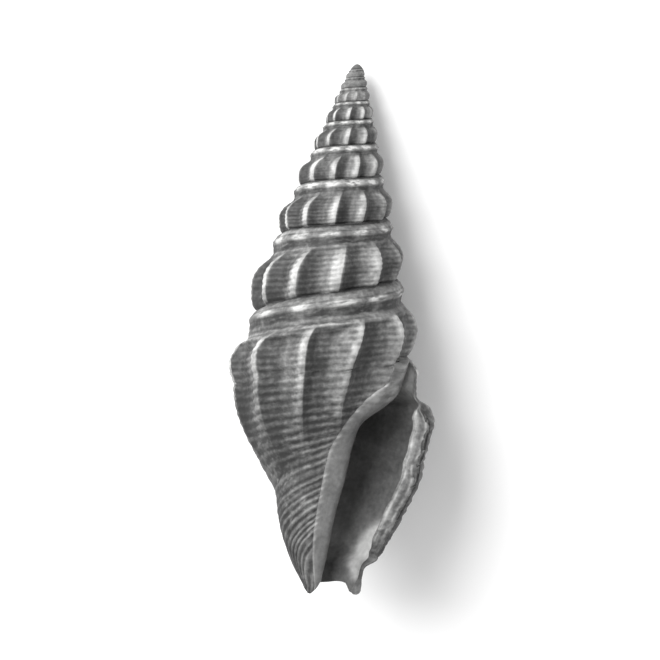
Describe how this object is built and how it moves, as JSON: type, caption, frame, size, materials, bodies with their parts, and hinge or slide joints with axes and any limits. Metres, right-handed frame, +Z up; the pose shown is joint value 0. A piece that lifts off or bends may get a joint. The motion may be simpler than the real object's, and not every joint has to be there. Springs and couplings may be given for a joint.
{
  "type": "fossil clavatula shell",
  "caption": "Fossil turrid snail shell lying mouth up: tall ribbed spiral spire, long open mouth with a thick outer lip, and a short open canal.",
  "frame": {"origin": "centre of the bounding box's base, on the surface that the shell lies on", "axes": "+Y along the shell from the canal to the tip of the spire, +Z up, out of the mouth side"},
  "size_m": [0.0176, 0.0438, 0.0149],
  "materials": {
    "fossil_stone": "matt grey fossil shell with pale worn rib crests and darker hollows"
  },
  "bodies": {
    "root": {"shell": "fossil_stone"}
  },
  "joints": []
}
